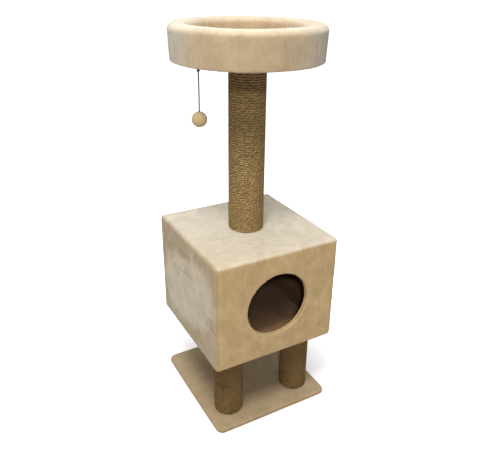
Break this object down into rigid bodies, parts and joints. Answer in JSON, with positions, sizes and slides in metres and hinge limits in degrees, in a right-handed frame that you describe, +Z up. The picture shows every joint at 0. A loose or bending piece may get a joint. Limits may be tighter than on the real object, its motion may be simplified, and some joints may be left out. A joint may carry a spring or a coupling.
{
  "type": "cat tree",
  "caption": "Plush cat tree: a square house with a round entrance on short rope-wound posts, and a tall rope-wound post carrying a round padded bed with a hanging toy ball.",
  "frame": {"origin": "middle of the base's underside", "axes": "+Z up along the tall post, -Y out of the house's round entrance, +X to the right as seen from the front"},
  "size_m": [0.38, 0.38, 1.0519],
  "materials": {
    "plush": "short beige plush with a brushed nap",
    "toy_plush": "short beige plush",
    "sisal_rope": "twisted natural fibre rope",
    "cardboard": "matte wound tube",
    "plug_wood": "sawn, unfinished",
    "brass_insert": "turned",
    "bolt_steel": "zinc plated",
    "screw_steel": "zinc plated",
    "filling": "soft filling",
    "toy_cord": "braided elastic cord",
    "board": "raw fibreboard"
  },
  "bodies": {
    "tree": {"base_board": "board", "base_cover": "plush", "leg_left_tube": "cardboard", "leg_left_rope": "sisal_rope", "leg_left_foot_plug": "plug_wood", "leg_left_head_plug": "plug_wood", "leg_left_foot_insert": "brass_insert", "leg_left_head_insert": "brass_insert", "leg_left_foot_bolt": "bolt_steel", "leg_left_head_bolt": "bolt_steel", "leg_right_tube": "cardboard", "leg_right_rope": "sisal_rope", "leg_right_foot_plug": "plug_wood", "leg_right_head_plug": "plug_wood", "leg_right_foot_insert": "brass_insert", "leg_right_head_insert": "brass_insert", "leg_right_foot_bolt": "bolt_steel", "leg_right_head_bolt": "bolt_steel", "leg_rear_tube": "cardboard", "leg_rear_rope": "sisal_rope", "leg_rear_foot_plug": "plug_wood", "leg_rear_head_plug": "plug_wood", "leg_rear_foot_insert": "brass_insert", "leg_rear_head_insert": "brass_insert", "leg_rear_foot_bolt": "bolt_steel", "leg_rear_head_bolt": "bolt_steel", "house_floor": "board", "house_front": "board", "house_back": "board", "house_left": "board", "house_right": "board", "house_roof": "board", "house_screws": "screw_steel", "house_wrap": "plush", "roof_cover": "plush", "floor_lining": "plush", "post_tube": "cardboard", "post_rope": "sisal_rope", "post_foot_plug": "plug_wood", "post_head_plug": "plug_wood", "post_foot_insert": "brass_insert", "post_head_insert": "brass_insert", "post_foot_bolt": "bolt_steel", "post_head_bolt": "bolt_steel", "bed_board": "board", "bed_wall": "board", "bed_foam": "filling", "bed_cover": "plush", "bed_pad": "plush", "toy_staple": "screw_steel"},
    "hitch": {"toy_hitch": "toy_cord"},
    "toy": {"toy_loop": "toy_cord", "toy_cord": "toy_cord", "toy_knot": "toy_cord", "toy_core": "filling", "toy_plush": "toy_plush"}
  },
  "joints": [
    {"name": "toy_swing_out", "type": "hinge", "parent": "tree", "child": "hitch", "pos_m": [-0.131, 0, 0.961], "axis": [0, 1, 0], "range_deg": [-28, 75]},
    {"name": "toy_swing_side", "type": "hinge", "parent": "hitch", "child": "toy", "pos_m": [-0.131, 0, 0.9553], "axis": [1, 0, 0], "range_deg": [-70, 70]}
  ]
}
